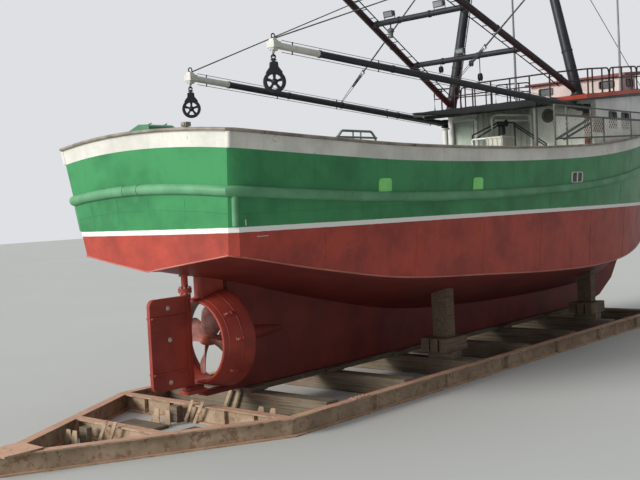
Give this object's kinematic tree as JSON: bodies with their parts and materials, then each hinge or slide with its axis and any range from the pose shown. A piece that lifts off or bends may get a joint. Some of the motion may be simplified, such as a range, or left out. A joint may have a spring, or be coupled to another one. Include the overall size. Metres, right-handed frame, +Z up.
{
  "type": "fishing trawler on a slipway cradle",
  "caption": "Steel hard-chine fishing trawler with ducted propeller, outriggers, raked gallows frame and forward deckhouse, hauled out on a steel and timber cradle.",
  "frame": {"origin": "on the floor under the middle of the whole length, cradle nose to stem head", "axes": "+X to starboard, +Y forward to the bow, +Z up"},
  "size_m": [5.895, 25.6311, 14.2],
  "materials": {
    "topside_paint": "semi-gloss green paint on welded plate",
    "antifouling": "matt red antifouling paint",
    "white_paint": "satin white paint",
    "rail_steel": "worn grey paint on a rubbing rail",
    "house_paint": "pale grey-green paint",
    "deck_red_paint": "orange-red deck paint",
    "railing_paint": "dark red-brown paint on pipe",
    "black_paint": "worn blue-black paint on pipe",
    "gear_green_paint": "green machinery paint",
    "propeller_bronze": "dull reddish bronze",
    "bare_steel": "dull worn steel",
    "rusty_steel": "rusted beams with remains of pale paint",
    "weathered_timber": "grey-brown weathered baulks",
    "wire_rope": "greased wire rope"
  },
  "bodies": {
    "root": {"hull": "topside_paint", "bulwark": "topside_paint", "cap_rail": "rail_steel", "rub_rail": "topside_paint", "keel": "antifouling", "nozzle": "antifouling", "deckhouse_walls": "house_paint", "boat_deck": "deck_red_paint", "wheelhouse_walls": "white_paint", "wheelhouse_roof": "deck_red_paint", "mast_leg_starboard": "black_paint", "mast_leg_port": "black_paint", "mast_cross_tree": "black_paint", "mast_head": "black_paint", "gallows_leg_starboard": "black_paint", "gallows_leg_port": "black_paint", "gallows_bar_low": "black_paint", "gallows_bar_high": "black_paint", "gallows_head_bar": "black_paint", "forestay": "wire_rope", "gallows_stay_starboard": "wire_rope", "gallows_stay_port": "wire_rope", "outrigger_stanchion_starboard": "house_paint", "outrigger_stanchion_port": "house_paint", "boat_deck_post": "house_paint", "railing_aft": "railing_paint", "railing_starboard": "railing_paint", "railing_port": "railing_paint", "aerial_mast_port": "white_paint", "aerial_mast_starboard": "white_paint", "winch_frame": "gear_green_paint", "hatch_coaming": "gear_green_paint", "stern_gear_box": "gear_green_paint", "deck_rail_frame": "bare_steel", "deck_boxes": "house_paint", "bow_bitts": "black_paint", "cradle_beam_starboard": "rusty_steel", "cradle_beam_port": "rusty_steel", "cradle_nose_plate": "rusty_steel", "cradle_cross_beam_aft": "rusty_steel", "cradle_cross_beam_fore": "rusty_steel", "cradle_timbers": "weathered_timber", "bilge_post_starboard_1": "weathered_timber", "bilge_post_port_1": "weathered_timber", "bilge_post_starboard_2": "weathered_timber", "bilge_post_port_2": "weathered_timber"},
    "propeller": {"propeller": "propeller_bronze"},
    "rudder": {"rudder": "antifouling"},
    "outrigger_starboard": {"outrigger_starboard": "black_paint"},
    "outrigger_port": {"outrigger_port": "black_paint"},
    "snatch_block_starboard": {"snatch_block_starboard": "black_paint"},
    "snatch_block_port": {"snatch_block_port": "black_paint"},
    "deckhouse_door": {"deckhouse_door": "house_paint"},
    "hatch_lid": {"hatch_lid": "gear_green_paint"},
    "winch_drum_port": {"winch_drum_port": "bare_steel"},
    "winch_drum_starboard": {"winch_drum_starboard": "bare_steel"}
  },
  "joints": [
    {"name": "propeller_spin", "type": "hinge", "parent": "root", "child": "propeller", "pos_m": [0, -8.33, 1.49], "axis": [0, 1, 0], "continuous": true},
    {"name": "rudder_turn", "type": "hinge", "parent": "root", "child": "rudder", "pos_m": [0, -8.83, 1.54], "axis": [0, 0, 1], "range_deg": [-35, 35]},
    {"name": "outrigger_starboard_slew", "type": "hinge", "parent": "root", "child": "outrigger_starboard", "pos_m": [2.2, 3.24, 6.04], "axis": [0, 0, 1], "range_deg": [0, 98]},
    {"name": "outrigger_port_slew", "type": "hinge", "parent": "root", "child": "outrigger_port", "pos_m": [-2.2, 3.24, 6.04], "axis": [0, 0, -1], "range_deg": [0, 98]},
    {"name": "block_starboard_swing", "type": "hinge", "parent": "outrigger_starboard", "child": "snatch_block_starboard", "pos_m": [1.2, -7.45, 6.707], "axis": [1, 0, 0], "range_deg": [-25, 25]},
    {"name": "block_port_swing", "type": "hinge", "parent": "outrigger_port", "child": "snatch_block_port", "pos_m": [-1.2, -7.37, 6.397], "axis": [1, 0, 0], "range_deg": [-25, 25]},
    {"name": "door_swing", "type": "hinge", "parent": "root", "child": "deckhouse_door", "pos_m": [-1.44, 3.548, 5.31], "axis": [0, 0, 1], "range_deg": [0, 170]},
    {"name": "hatch_lid_hinge", "type": "hinge", "parent": "root", "child": "hatch_lid", "pos_m": [0, -0.335, 4.675], "axis": [-1, 0, 0], "range_deg": [0, 100]},
    {"name": "winch_drum_port_spin", "type": "hinge", "parent": "root", "child": "winch_drum_port", "pos_m": [-0.485, 2.32, 4.83], "axis": [1, 0, 0], "continuous": true},
    {"name": "winch_drum_starboard_spin", "type": "hinge", "parent": "root", "child": "winch_drum_starboard", "pos_m": [0.405, 2.32, 4.83], "axis": [1, 0, 0], "continuous": true}
  ]
}
